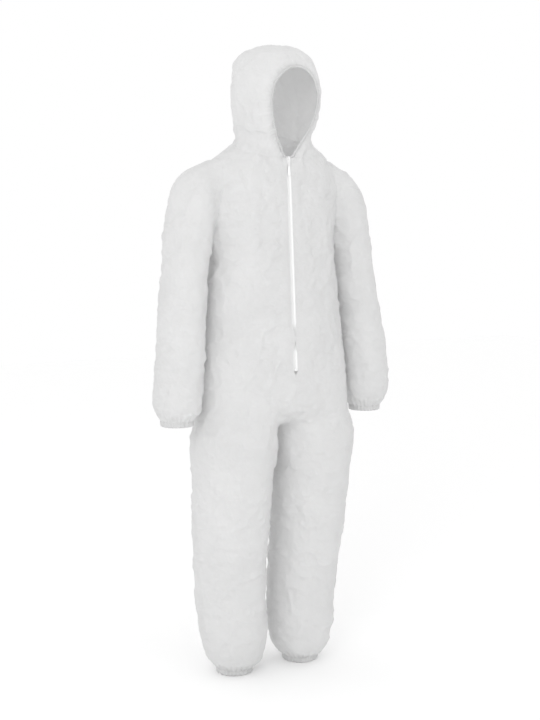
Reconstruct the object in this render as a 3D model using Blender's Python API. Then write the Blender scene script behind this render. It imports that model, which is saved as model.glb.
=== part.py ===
"""Chemical protective suit: a white hooded coverall, standing as if a wearer filled it.

Metres, +Z up. The front of the suit faces -Y and the wearer's right side is at -X.
z = 0 is the flat lower edge of the ankle hems.
"""

import math

import bmesh
import bpy
import numpy as np
from mathutils import Matrix, Vector

# ---- driving dimensions ----------------------------------------------------------------
WALL = 0.0012            # fabric shells are drawn thicker than the 0.2 mm cloth
SEAM_GAP = 0.0004        # clearance between two pieces sewn to each other
JOINT_GAP = 0.0012       # clearance between two pieces that turn about each other
BALL_SEGMENTS = 24

# trunk and hood: z, half width, front depth, back depth, section power
TRUNK = [
    (0.738, 0.230, 0.104, 0.100, 2.2),
    (0.765, 0.237, 0.128, 0.124, 2.2),
    (0.880, 0.233, 0.1250, 0.134, 2.2),
    (0.930, 0.225, 0.1216, 0.133, 2.2),
    (1.000, 0.215, 0.1168, 0.130, 2.2),
    (1.090, 0.204, 0.1106, 0.129, 2.2),
    (1.260, 0.192, 0.0990, 0.129, 2.2),
    (1.330, 0.199, 0.0942, 0.126, 2.2),
    (1.385, 0.208, 0.0905, 0.120, 2.2),
    (1.425, 0.211, 0.0877, 0.112, 2.2),
    (1.447, 0.203, 0.0862, 0.106, 2.2),
    (1.466, 0.184, 0.0850, 0.101, 2.2),
    (1.484, 0.157, 0.0870, 0.098, 2.1),
    (1.500, 0.126, 0.0930, 0.097, 2.0),
    (1.513, 0.108, 0.1000, 0.097, 2.0),
    (1.555, 0.1110, 0.1240, 0.098, 2.1),
    (1.610, 0.1180, 0.1400, 0.096, 2.3),
    (1.660, 0.1180, 0.1410, 0.096, 2.3),
    (1.700, 0.1140, 0.1330, 0.092, 2.2),
    (1.730, 0.1060, 0.1200, 0.084, 2.2),
    (1.751, 0.0910, 0.1020, 0.070, 2.2),
    (1.764, 0.0690, 0.0780, 0.052, 2.1),
    (1.771, 0.0420, 0.0480, 0.032, 2.0),
    (1.773, 0.0150, 0.0180, 0.012, 2.0),
]
TRUNK_COUNT = 28

# left sleeve, shoulder to wrist: z, centre x, centre y, half width, half depth
SLEEVE = [
    (0.752, 0.312, -0.013, 0.0450, 0.0450),
    (0.767, 0.312, -0.013, 0.0535, 0.0570),
    (0.789, 0.312, -0.013, 0.0620, 0.0700),
    (0.828, 0.311, -0.014, 0.0630, 0.0765),
    (0.930, 0.302, -0.014, 0.0625, 0.0765),
    (1.000, 0.294, -0.006, 0.0610, 0.0765),
    (1.090, 0.284, 0.003, 0.0600, 0.0780),
    (1.215, 0.267, 0.013, 0.0600, 0.0805),
    (1.310, 0.251, 0.019, 0.0640, 0.0825),
    (1.355, 0.242, 0.020, 0.0640, 0.0815),
    (1.392, 0.233, 0.020, 0.0590, 0.0765),
    (1.422, 0.222, 0.018, 0.0520, 0.0660),
    (1.442, 0.208, 0.016, 0.0420, 0.0520),
    (1.454, 0.194, 0.012, 0.0280, 0.0350),
]
SLEEVE_COUNT = 16

# left leg, ankle to hip: z, centre x, centre y, half width, half depth
LEG = [
    (0.0150, 0.112, 0.026, 0.0520, 0.0540),
    (0.0300, 0.112, 0.026, 0.0680, 0.0700),
    (0.0500, 0.112, 0.027, 0.0810, 0.0830),
    (0.0850, 0.113, 0.029, 0.0910, 0.0930),
    (0.2200, 0.120, 0.034, 0.1000, 0.1020),
    (0.3900, 0.129, 0.018, 0.1070, 0.1090),
    (0.5600, 0.1285, 0.002, 0.1145, 0.1180),
    (0.7200, 0.1260, -0.006, 0.1175, 0.1230),
    (0.7900, 0.1150, -0.004, 0.0950, 0.1000),
]
LEG_COUNT = 16

# turning centres (left side; the right side is the mirror image)
NECK_CENTRE = (0.0, 0.0, 1.555)
NECK_RADII = (0.1150, 0.1300, 0.1300)
SHOULDER_CENTRE = (0.215, 0.020, 1.375)
SHOULDER_RADIUS = 0.095
ELBOW_CENTRE = (0.294, -0.006, 1.000)
ELBOW_RADIUS = 0.108
HIP_CENTRE = (0.1285, -0.006, 0.700)
HIP_RADII = (0.1275, 0.1400, 0.1400)
KNEE_CENTRE = (0.129, 0.017, 0.400)
KNEE_RADIUS = 0.130

# face opening: z, half width
FACE = [
    (1.400, 0.0140),
    (1.468, 0.0140),
    (1.486, 0.0210),
    (1.508, 0.0345),
    (1.535, 0.0490),
    (1.570, 0.0640),
    (1.612, 0.0715),
    (1.650, 0.0690),
    (1.678, 0.0560),
    (1.696, 0.0380),
    (1.706, 0.0190),
    (1.709, 0.0000),
]
FACE_HEM_WIDTH = 0.009
FACE_HEM_THICK = 0.0012
FACE_ELASTIC_WIDTH = 0.005
FACE_ELASTIC_THICK = 0.0008

# wrist and ankle hems
HEM_HEIGHT = 0.0146
WRIST_HEM_Z = 0.737
WRIST_HEM_RADIUS = 0.0440
ANKLE_HEM_Z = 0.0
ANKLE_HEM_RADIUS = 0.0520
HEM_COUNT = 20
ELASTIC_HEIGHT = 0.008
ELASTIC_THICK = 0.0008

# zip, measured on the outside of the front panels at the centre line
ZIP_TOP = (0.0, -0.0850, 1.465)
ZIP_BOTTOM = (0.0, -0.1250, 0.880)
ZIP_SET_BACK = 0.0030    # middle of the chain behind the outside of the panels
ZIP_SLOT = 0.0065        # half width left open between the front panels
TOOTH_IN = 0.0008
TOOTH_OUT = 0.0029
TOOTH_HALF = 0.0010
TAPE_IN = 0.0032
TAPE_OUT = 0.0115
TAPE_HALF = 0.0003
STOP_HALF = 0.0020
SLIDER_HALF_WIDTH = 0.0046
SLIDER_HALF_LENGTH = 0.0070
PLATE_LOW = 0.0014
PLATE_HIGH = 0.0026
BAIL_HALF_LENGTH = 0.0045
BAIL_HALF_WIDTH = 0.0009
BAIL_LEG = 0.0012
BAIL_INSIDE = 0.0048
BAIL_TOP = 0.0058
PIN_ALONG = -0.0023      # puller hinge, from the middle of the slider
PIN_OUT = 0.0037
PIN_RADIUS = 0.0007
PULLER_ARM_IN = 0.0013
PULLER_HALF_WIDTH = 0.0035
PULLER_EYE = 0.0080
PULLER_LENGTH = 0.0340

LABEL_SIZE = (0.036, 0.0004, 0.026)
LABEL_CENTRE = (0.0, 0.0930, 1.432)


# ---- meshes ----------------------------------------------------------------------------
def clear_scene():
    """Remove whatever the file starts with."""
    for item in list(bpy.data.objects):
        bpy.data.objects.remove(item, do_unlink=True)


def add_object(name, points, faces):
    """Put a mesh made of points and faces in the scene."""
    mesh = bpy.data.meshes.new(name)
    mesh.from_pydata([tuple(map(float, p)) for p in points], [], faces)
    mesh.update()
    item = bpy.data.objects.new(name, mesh)
    bpy.context.scene.collection.objects.link(item)
    return item


def drop(*items):
    """Take finished helper shapes out of the scene."""
    for item in items:
        mesh = item.data
        bpy.data.objects.remove(item, do_unlink=True)
        bpy.data.meshes.remove(mesh)


def combine(target, tool, operation):
    """Apply one exact Boolean to the target."""
    modifier = target.modifiers.new("step", "BOOLEAN")
    modifier.operation = operation
    modifier.solver = "EXACT"
    modifier.object = tool
    bpy.context.view_layer.update()
    graph = bpy.context.evaluated_depsgraph_get()
    mesh = bpy.data.meshes.new_from_object(target.evaluated_get(graph))
    target.modifiers.clear()
    old = target.data
    target.data = mesh
    bpy.data.meshes.remove(old)
    clean(target)
    return target


def clean(item):
    """Merge the specks that a cut can leave."""
    mesh = bmesh.new()
    mesh.from_mesh(item.data)
    bmesh.ops.remove_doubles(mesh, verts=mesh.verts, dist=0.000004)
    bmesh.ops.dissolve_degenerate(mesh, edges=mesh.edges, dist=0.000004)
    mesh.to_mesh(item.data)
    mesh.free()


def copy_of(item, name):
    """A separate copy of a helper shape."""
    twin = bpy.data.objects.new(name, item.data.copy())
    bpy.context.scene.collection.objects.link(twin)
    return twin


def box(name, low, high):
    """Axis-aligned box between two corners."""
    (x0, y0, z0), (x1, y1, z1) = low, high
    points = [(x, y, z) for z in (z0, z1) for y in (y0, y1) for x in (x0, x1)]
    faces = [(0, 2, 3, 1), (4, 5, 7, 6), (0, 1, 5, 4), (2, 6, 7, 3), (0, 4, 6, 2), (1, 3, 7, 5)]
    return add_object(name, points, faces)


def prism(name, outline, y0, y1):
    """Block with an outline in x and z, anticlockwise seen from -Y, between two depths."""
    count = len(outline)
    points = [(x, y, z) for y in (y0, y1) for x, z in outline]
    faces = [tuple(range(count)), tuple(range(2 * count - 1, count - 1, -1))]
    for k in range(count):
        n = (k + 1) % count
        faces.append((k, k + count, n + count, n))
    return add_object(name, points, faces)


def mirrored_outline(outline, side):
    """The outline on the wanted side, still anticlockwise."""
    if side > 0:
        return outline
    return [(-x, z) for x, z in reversed(outline)]


def section(z, cx, cy, half, front, back, power, count):
    """One level outline of a tube, anticlockwise from above."""
    ring = []
    for k in range(count):
        turn = 2 * math.pi * (k + 0.5) / count
        c, s = math.cos(turn), math.sin(turn)
        x = cx + half * math.copysign(abs(c) ** (2 / power), c)
        depth = back if s > 0 else front
        y = cy + depth * math.copysign(abs(s) ** (2 / power), s)
        ring.append((x, y, z))
    return ring


def inset_grid(grid, distance):
    """Move every point of a tube inwards, square to its surface."""
    around = np.roll(grid, -1, axis=1) - np.roll(grid, 1, axis=1)
    along = np.gradient(grid, axis=0)
    normal = np.cross(around, along)
    normal /= np.linalg.norm(normal, axis=2, keepdims=True)
    return grid - distance * normal


def tube(name, grid, low_shift=0.0, high_shift=0.0):
    """Closed tube through the rings of a grid; the ends can be moved up or down."""
    grid = np.array(grid, dtype=float)
    grid[0, :, 2] += low_shift
    grid[-1, :, 2] += high_shift
    rings, count = grid.shape[:2]
    points = [tuple(p) for ring in grid for p in ring]
    faces = []
    for i in range(rings - 1):
        for k in range(count):
            n = (k + 1) % count
            faces.append((i * count + k, i * count + n, (i + 1) * count + n, (i + 1) * count + k))
    low = len(points)
    points.append(tuple(grid[0].mean(axis=0)))
    high = len(points)
    points.append(tuple(grid[-1].mean(axis=0)))
    top = (rings - 1) * count
    for k in range(count):
        n = (k + 1) % count
        faces.append((low, n, k))
        faces.append((high, top + k, top + n))
    return add_object(name, points, faces)


def trunk_grid():
    """Rings of the trunk and hood."""
    rows = [section(z, 0.0, 0.0, a, f, b, p, TRUNK_COUNT) for z, a, f, b, p in TRUNK]
    return np.array(rows)


def limb_grid(table, side, count):
    """Rings of a sleeve or leg on one side."""
    rows = []
    for z, cx, cy, half, depth in table:
        rows.append(section(z, side * cx, cy, half, depth, depth, 2.0, count))
    return np.array(rows)


def skin_pair(name, grid, open_low):
    """Outer solid and the solid of the space inside it."""
    outer = tube(name + "_outer", grid)
    hollow = inset_grid(grid, WALL)
    if open_low:
        hollow[0, :, 2] = grid[0, :, 2]
        mouth = hollow[:1] - np.array((0.0, 0.0, 0.02))
        hollow = np.concatenate((mouth, hollow))
    inner = tube(name + "_inner", hollow, 0.0 if open_low else WALL, -WALL)
    return outer, inner


def ellipsoid(name, centre, radii, axis, grow=0.0):
    """Surface of revolution about a hinge line through the centre."""
    ease = 1.0 / math.cos(math.pi / BALL_SEGMENTS) if grow else 1.0
    radii = [(r + grow) * ease for r in radii]
    bands = BALL_SEGMENTS // 2
    points, faces = [], []
    for i in range(1, bands):
        tilt = math.pi * i / bands
        for k in range(BALL_SEGMENTS):
            turn = 2 * math.pi * (k + 0.37) / BALL_SEGMENTS
            spin = (math.cos(tilt), math.sin(tilt) * math.cos(turn), math.sin(tilt) * math.sin(turn))
            unit = spin if axis == "X" else (spin[2], spin[0], spin[1])
            points.append([c + r * u for c, r, u in zip(centre, radii, unit)])
    pole = (1, 0, 0) if axis == "X" else (0, 1, 0)
    near = len(points)
    points.append([c + r * u for c, r, u in zip(centre, radii, pole)])
    far = len(points)
    points.append([c - r * u for c, r, u in zip(centre, radii, pole)])
    for i in range(bands - 2):
        for k in range(BALL_SEGMENTS):
            n = (k + 1) % BALL_SEGMENTS
            a, b = i * BALL_SEGMENTS, (i + 1) * BALL_SEGMENTS
            faces.append((a + k, b + k, b + n, a + n))
    last = (bands - 2) * BALL_SEGMENTS
    for k in range(BALL_SEGMENTS):
        n = (k + 1) % BALL_SEGMENTS
        faces.append((near, k, n))
        faces.append((far, last + n, last + k))
    return add_object(name, points, faces)


def mirrored(point, side):
    """The point on the wanted side of the suit."""
    return (side * point[0], point[1], point[2])


# ---- regions of the body ---------------------------------------------------------------
def hood_region(grow):
    """Everything that turns with the head."""
    region = ellipsoid("hood_region", NECK_CENTRE, NECK_RADII, "X", grow)
    above = box("above", (-0.4, -0.4, NECK_CENTRE[2]), (0.4, 0.4, 2.0))
    combine(region, above, "UNION")
    drop(above)
    return region


def below_region(name, side, centre, radii, grow):
    """Everything below a hinge on one side, with a ball round the hinge."""
    centre = mirrored(centre, side)
    region = ellipsoid(name, centre, radii, "X", grow)
    x = sorted((side * 0.0006, side * 0.6))
    under = box("under", (x[0], -0.4, -0.2), (x[1], 0.4, centre[2]))
    combine(region, under, "UNION")
    drop(under)
    return region


def sleeve_region(side, grow):
    """The shoulder ball and the space beside the chest where the sleeve hangs."""
    radii = (SHOULDER_RADIUS,) * 3
    region = ellipsoid("sleeve_region", mirrored(SHOULDER_CENTRE, side), radii, "Y", grow)
    if grow:
        return region
    outline = [
        (0.1965, 1.268),
        (0.2335, 0.900),
        (0.6000, 0.900),
        (0.6000, SHOULDER_CENTRE[2]),
        (0.2320, SHOULDER_CENTRE[2]),
        (0.1995, 1.320),
    ]
    beside = prism("beside", mirrored_outline(outline, side), -0.3, 0.3)
    combine(region, beside, "UNION")
    drop(beside)
    return region


# ---- fabric pieces ---------------------------------------------------------------------
def trunk_shell(legs):
    """Trunk, hood and legs as one open-bottomed skin."""
    outer, inner = skin_pair("trunk", trunk_grid(), False)
    for leg_outer, leg_inner in legs:
        combine(outer, leg_outer, "UNION")
        combine(inner, leg_inner, "UNION")
    combine(outer, inner, "DIFFERENCE")
    drop(inner)
    return outer


def make_hood(shell):
    """Right and left hood panels, cut at the crown and round the face."""
    region = hood_region(0.0)
    hood = combine(copy_of(shell, "hood"), region, "INTERSECT")
    face = face_cutter()
    combine(hood, face, "DIFFERENCE")
    made = []
    for side, name in ((-1, "hood_right"), (1, "hood_left")):
        x = sorted((side * SEAM_GAP / 2, side * 0.4))
        half = box("half", (x[0], -0.4, 1.2), (x[1], 0.4, 2.0))
        made.append(combine(copy_of(hood, name), half, "INTERSECT"))
        drop(half)
    drop(region, hood, face)
    return made


def face_cutter():
    """Prism through the front of the hood in the outline of the face opening."""
    outline = [(w, z) for z, w in FACE]
    outline += [(-w, z) for z, w in reversed(FACE[:-1])]
    return prism("face_cutter", outline, -0.3, -0.02)


def quarter_region(side, depth):
    """One quarter of the trunk; the front quarters leave the slot for the zip open."""
    g = SEAM_GAP / 2
    foot = ZIP_BOTTOM[2] - 0.006
    if depth < 0:
        outline = [(g, 0.5), (0.5, 0.5), (0.5, 1.6), (ZIP_SLOT, 1.6), (ZIP_SLOT, foot), (g, foot)]
    else:
        outline = [(g, 0.5), (0.5, 0.5), (0.5, 1.6), (g, 1.6)]
    y = sorted((depth * g, depth * 0.5))
    return prism("quarter", mirrored_outline(outline, side), y[0], y[1])


def make_torso(shell):
    """Two front and two back panels between the neck, the armholes and the hips."""
    torso = copy_of(shell, "torso")
    region = hood_region(JOINT_GAP)
    combine(torso, region, "DIFFERENCE")
    drop(region)
    for side in (-1, 1):
        radii = tuple(HIP_RADII)
        for region in (
            sleeve_region(side, JOINT_GAP),
            below_region("leg_region", side, HIP_CENTRE, radii, JOINT_GAP),
        ):
            combine(torso, region, "DIFFERENCE")
            drop(region)
    made = []
    for side, word in ((-1, "right"), (1, "left")):
        for depth, face in ((-1, "front"), (1, "back")):
            quarter = quarter_region(side, depth)
            made.append(combine(copy_of(torso, f"torso_{face}_{word}"), quarter, "INTERSECT"))
            drop(quarter)
    drop(torso)
    return made


def make_legs(shell):
    """Thigh and shin pieces of both legs."""
    made = []
    for side, word in ((-1, "right"), (1, "left")):
        hip = below_region("hip", side, HIP_CENTRE, HIP_RADII, 0.0)
        knee_wide = below_region("knee", side, KNEE_CENTRE, (KNEE_RADIUS,) * 3, JOINT_GAP)
        knee = below_region("knee", side, KNEE_CENTRE, (KNEE_RADIUS,) * 3, 0.0)
        thigh = combine(copy_of(shell, f"thigh_{word}"), hip, "INTERSECT")
        combine(thigh, knee_wide, "DIFFERENCE")
        shin = combine(copy_of(shell, f"shin_{word}"), knee, "INTERSECT")
        drop(hip, knee_wide, knee)
        made += [thigh, shin]
    return made


def make_sleeves():
    """Upper sleeve and forearm of both arms."""
    made = []
    for side, word in ((-1, "right"), (1, "left")):
        outer, inner = skin_pair("trunk", trunk_grid(), False)
        arm_outer, arm_inner = skin_pair("arm", limb_grid(SLEEVE, side, SLEEVE_COUNT), True)
        forearm = combine(copy_of(arm_outer, f"forearm_{word}"), arm_inner, "DIFFERENCE")
        combine(outer, arm_outer, "UNION")
        combine(inner, arm_inner, "UNION")
        combine(outer, inner, "DIFFERENCE")
        shoulder = sleeve_region(side, 0.0)
        elbow_wide = below_region("elbow", side, ELBOW_CENTRE, (ELBOW_RADIUS,) * 3, JOINT_GAP)
        elbow = below_region("elbow", side, ELBOW_CENTRE, (ELBOW_RADIUS,) * 3, 0.0)
        upper = combine(copy_of(outer, f"upper_sleeve_{word}"), shoulder, "INTERSECT")
        combine(upper, elbow_wide, "DIFFERENCE")
        combine(forearm, elbow, "INTERSECT")
        drop(outer, inner, arm_outer, arm_inner, shoulder, elbow_wide, elbow)
        made += [upper, forearm]
    return made


# ---- hems and elastics -----------------------------------------------------------------
def band(name, centre, radius, low, height, thick):
    """Plain round band."""
    points, faces = [], []
    rows = ((radius, low), (radius, low + height), (radius - thick, low + height), (radius - thick, low))
    for r, z in rows:
        for k in range(HEM_COUNT):
            turn = 2 * math.pi * k / HEM_COUNT
            points.append((centre[0] + r * math.cos(turn), centre[1] + r * math.sin(turn), z))
    for i in range(4):
        for k in range(HEM_COUNT):
            n = (k + 1) % HEM_COUNT
            a, b = i * HEM_COUNT, ((i + 1) % 4) * HEM_COUNT
            faces.append((a + k, a + n, b + n, b + k))
    return add_object(name, points, faces)


def make_cuffs():
    """Hem and elastic of each wrist and ankle."""
    made = []
    for side, word in ((-1, "right"), (1, "left")):
        for name, table, radius, low in (
            ("wrist", SLEEVE, WRIST_HEM_RADIUS, WRIST_HEM_Z),
            ("ankle", LEG, ANKLE_HEM_RADIUS, ANKLE_HEM_Z),
        ):
            centre = (side * table[0][1], table[0][2])
            made.append(band(f"{name}_hem_{word}", centre, radius, low, HEM_HEIGHT, WALL))
            inside = radius - WALL - SEAM_GAP
            lift = low + (HEM_HEIGHT - ELASTIC_HEIGHT) / 2
            made.append(band(f"{name}_elastic_{word}", centre, inside, lift, ELASTIC_HEIGHT, ELASTIC_THICK))
    return made


def interpolate(table, z, column):
    """Value of one column of a table at a height."""
    levels = [row[0] for row in table]
    return float(np.interp(z, levels, [row[column] for row in table]))


def hood_front(x, z):
    """y of the outside of the hood at a point of its front."""
    half = interpolate(TRUNK, z, 1)
    front = interpolate(TRUNK, z, 2)
    power = interpolate(TRUNK, z, 4)
    share = min(abs(x) / half, 0.999)
    return -front * (1 - share ** power) ** (1 / power)


def face_path():
    """Points of the face opening from the right of the chin, over the brow, to the left."""
    rows = [row for row in FACE if row[0] > 1.45]
    right = [(-w, z) for z, w in rows]
    left = [(w, z) for z, w in reversed(rows[:-1])]
    return right + left


def rim_strip(name, near, far, back, thick):
    """Strip that follows the face opening, between two distances inside its edge."""
    path = face_path()
    count = len(path)
    middle = Vector((0.0, 0.0, 1.60))
    points = []
    for k, (x, z) in enumerate(path):
        before = Vector((path[max(k - 1, 0)][0], 0, path[max(k - 1, 0)][1]))
        after = Vector((path[min(k + 1, count - 1)][0], 0, path[min(k + 1, count - 1)][1]))
        along = (after - before).normalized()
        inward = Vector((0, 1, 0)).cross(along)
        if inward.dot(middle - Vector((x, 0, z))) < 0:
            inward = -inward
        y = hood_front(x, z) + back
        for reach, depth in ((near, 0), (near, thick), (far, thick), (far, 0)):
            spot = Vector((x, y + depth, z)) + inward * reach
            points.append(tuple(spot))
    faces = [(0, 1, 2, 3), tuple(4 * (count - 1) + k for k in (3, 2, 1, 0))]
    for i in range(count - 1):
        for k in range(4):
            n = (k + 1) % 4
            faces.append((4 * i + n, 4 * i + k, 4 * (i + 1) + k, 4 * (i + 1) + n))
    return add_object(name, points, faces)


def make_face_edge():
    """Hem and elastic round the face opening; both end at the zip."""
    hem = rim_strip("face_hem", SEAM_GAP, FACE_HEM_WIDTH, 0.0, FACE_HEM_THICK)
    start = (FACE_HEM_WIDTH - FACE_ELASTIC_WIDTH) / 2
    behind = FACE_HEM_THICK + SEAM_GAP
    elastic = rim_strip("face_elastic", start, start + FACE_ELASTIC_WIDTH, behind, FACE_ELASTIC_THICK)
    return [hem, elastic]


# ---- zip -------------------------------------------------------------------------------
def zip_matrix(offset):
    """Frame of the zip: x across, y up along the chain, z out of the suit."""
    top, bottom = Vector(ZIP_TOP), Vector(ZIP_BOTTOM)
    up = (top - bottom).normalized()
    across = Vector((1, 0, 0))
    out = across.cross(up)
    origin = top - out * ZIP_SET_BACK + up * offset
    turn = Matrix((across, up, out)).transposed().to_4x4()
    return Matrix.Translation(origin) @ turn


def zip_length():
    """Distance from the top to the bottom of the zip."""
    return (Vector(ZIP_TOP) - Vector(ZIP_BOTTOM)).length


def place_zip(item, offset=0.0):
    """Move a piece drawn in the frame of the zip into the suit."""
    item.data.transform(zip_matrix(offset))
    item.data.update()
    return item


def make_chain():
    """Two tapes, two rows of teeth and the three stops."""
    made = []
    length = zip_length()
    for side, word in ((-1, "right"), (1, "left")):
        tape = sorted((side * TAPE_IN, side * TAPE_OUT))
        teeth = sorted((side * TOOTH_IN, side * TOOTH_OUT))
        stop = sorted((side * TOOTH_IN, side * (TOOTH_OUT + 0.0001)))
        made.append(box(f"zip_tape_{word}", (tape[0], -length, -TAPE_HALF), (tape[1], 0.002, TAPE_HALF)))
        made.append(box(f"zip_teeth_{word}", (teeth[0], -length + 0.006, -TOOTH_HALF),
                        (teeth[1], -0.004, TOOTH_HALF)))
        made.append(box(f"zip_top_stop_{word}", (stop[0], -0.0036, -STOP_HALF), (stop[1], -0.0002, STOP_HALF)))
    wide = TOOTH_OUT + 0.0001
    made.append(box("zip_bottom_stop", (-wide, -length + 0.0006, -STOP_HALF), (wide, -length + 0.0056, STOP_HALF)))
    return [place_zip(item) for item in made]


def slider_offset():
    """Middle of the closed slider, below the top stops."""
    return -0.0036 - 0.0006 - SLIDER_HALF_LENGTH


def make_slider():
    """Slider with two plates, flanges, a post between the rows of teeth and a bail."""
    w, h = SLIDER_HALF_WIDTH, SLIDER_HALF_LENGTH
    body = box("zip_slider", (-w, -h, PLATE_LOW), (w, h, PLATE_HIGH))
    parts = [box("part", (-w, -h, -PLATE_HIGH), (w, h, -PLATE_LOW))]
    parts.append(box("part", (-0.00045, 0.0015, -PLATE_HIGH + 0.0002), (0.00045, 0.0055, PLATE_HIGH - 0.0002)))
    for side in (-1, 1):
        x = sorted((side * (w - 0.0007), side * w))
        for low, high in ((0.00065, PLATE_HIGH - 0.0002), (-PLATE_HIGH + 0.0002, -0.00065)):
            parts.append(box("part", (x[0], -h + 0.0005, low), (x[1], h - 0.0030, high)))
        leg = sorted((side * (BAIL_HALF_LENGTH - BAIL_LEG), side * BAIL_HALF_LENGTH))
        parts.append(box("part", (-BAIL_HALF_WIDTH, leg[0], PLATE_HIGH - 0.0004),
                         (BAIL_HALF_WIDTH, leg[1], BAIL_TOP)))
    parts.append(box("part", (-BAIL_HALF_WIDTH, -BAIL_HALF_LENGTH, BAIL_INSIDE),
                     (BAIL_HALF_WIDTH, BAIL_HALF_LENGTH, BAIL_TOP)))
    for part in parts:
        combine(body, part, "UNION")
        drop(part)
    return place_zip(body, slider_offset())


def make_puller():
    """Pull tab with an eye whose pin runs through the bail."""
    low, high = PIN_OUT - PIN_RADIUS, PIN_OUT + PIN_RADIUS
    tab_top = PIN_ALONG - PULLER_EYE
    tab_end = PIN_ALONG - PULLER_LENGTH
    w = PULLER_HALF_WIDTH
    body = box("zip_puller", (-w, tab_end, low), (w, tab_top, high))
    parts = [bar("pin", w, PIN_RADIUS, (0.0, PIN_ALONG, PIN_OUT), 16)]
    for side in (-1, 1):
        x = sorted((side * PULLER_ARM_IN, side * w))
        parts.append(box("arm", (x[0], tab_top - 0.001, low), (x[1], PIN_ALONG, high)))
    for part in parts:
        combine(body, part, "UNION")
        drop(part)
    return place_zip(body, slider_offset())


def bar(name, half_length, radius, centre, count):
    """Round bar along X."""
    points = []
    for x in (-half_length, half_length):
        for k in range(count):
            turn = 2 * math.pi * k / count
            y = centre[1] + radius * math.cos(turn)
            z = centre[2] + radius * math.sin(turn)
            points.append((centre[0] + x, y, z))
    faces = [tuple(range(count - 1, -1, -1)), tuple(range(count, 2 * count))]
    for k in range(count):
        n = (k + 1) % count
        faces.append((k, n, n + count, k + count))
    return add_object(name, points, faces)


def make_label():
    """Blank label hanging inside the back of the neck."""
    low = [c - s / 2 for c, s in zip(LABEL_CENTRE, LABEL_SIZE)]
    high = [c + s / 2 for c, s in zip(LABEL_CENTRE, LABEL_SIZE)]
    return box("neck_label", low, high)


# ---- finish ----------------------------------------------------------------------------
LOOKS = {
    "fabric": ((0.800, 0.810, 0.820), 0.65),
    "hem": ((0.780, 0.790, 0.800), 0.70),
    "elastic": ((0.860, 0.850, 0.820), 0.80),
    "tape": ((0.850, 0.850, 0.850), 0.75),
    "plastic": ((0.880, 0.880, 0.880), 0.35),
    "label": ((0.900, 0.900, 0.890), 0.60),
}


def give_material(item, look):
    """Give one piece its own Principled material."""
    colour, rough = LOOKS[look]
    material = bpy.data.materials.new(item.name)
    material.use_nodes = True
    shader = material.node_tree.nodes["Principled BSDF"]
    shader.inputs["Base Color"].default_value = (*colour, 1.0)
    shader.inputs["Roughness"].default_value = rough
    item.data.materials.clear()
    item.data.materials.append(material)


def finish(items, look, smooth):
    """Material and shading of a group of pieces."""
    for item in items:
        give_material(item, look)
        for face in item.data.polygons:
            face.use_smooth = smooth
        if smooth:
            item.data.set_sharp_from_angle(angle=math.radians(40))


def move_origin(item, point):
    """Put the origin of a piece on its joint without moving the piece."""
    item.data.transform(Matrix.Translation(-Vector(point)))
    item.location = point


def set_origins():
    """Origins of the pieces that move."""
    centres = {"upper_sleeve": SHOULDER_CENTRE, "forearm": ELBOW_CENTRE, "wrist": ELBOW_CENTRE}
    centres.update({"thigh": HIP_CENTRE, "shin": KNEE_CENTRE, "ankle": KNEE_CENTRE})
    for item in bpy.data.objects:
        for word, centre in centres.items():
            if item.name.startswith(word):
                side = 1 if item.name.endswith("left") else -1
                move_origin(item, mirrored(centre, side))
        if item.name.startswith(("hood", "face")):
            move_origin(item, NECK_CENTRE)
    slider = zip_matrix(slider_offset())
    move_origin(bpy.data.objects["zip_slider"], slider.translation)
    move_origin(bpy.data.objects["zip_puller"], slider @ Vector((0.0, PIN_ALONG, PIN_OUT)))


def main():
    """Build every piece of the suit."""
    clear_scene()
    legs = [skin_pair("leg", limb_grid(LEG, side, LEG_COUNT), True) for side in (-1, 1)]
    shell = trunk_shell(legs)
    for pair in legs:
        drop(*pair)
    fabric = make_hood(shell) + make_torso(shell) + make_legs(shell) + make_sleeves()
    drop(shell)
    finish(fabric, "fabric", True)
    cuffs = make_cuffs()
    finish([item for item in cuffs if "hem" in item.name], "hem", True)
    finish([item for item in cuffs if "elastic" in item.name], "elastic", True)
    hem, elastic = make_face_edge()
    finish([hem], "hem", True)
    finish([elastic], "elastic", True)
    chain = make_chain()
    finish([item for item in chain if "tape" in item.name], "tape", False)
    finish([item for item in chain if "tape" not in item.name], "plastic", False)
    finish([make_slider(), make_puller()], "plastic", False)
    finish([make_label()], "label", False)
    set_origins()


main()
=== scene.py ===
"""Chemical protective suit: cloth, seams, hems, zip, floor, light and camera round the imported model."""
import math

import bmesh
import bpy
import numpy as np
from mathutils import Matrix, Vector, noise


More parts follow.
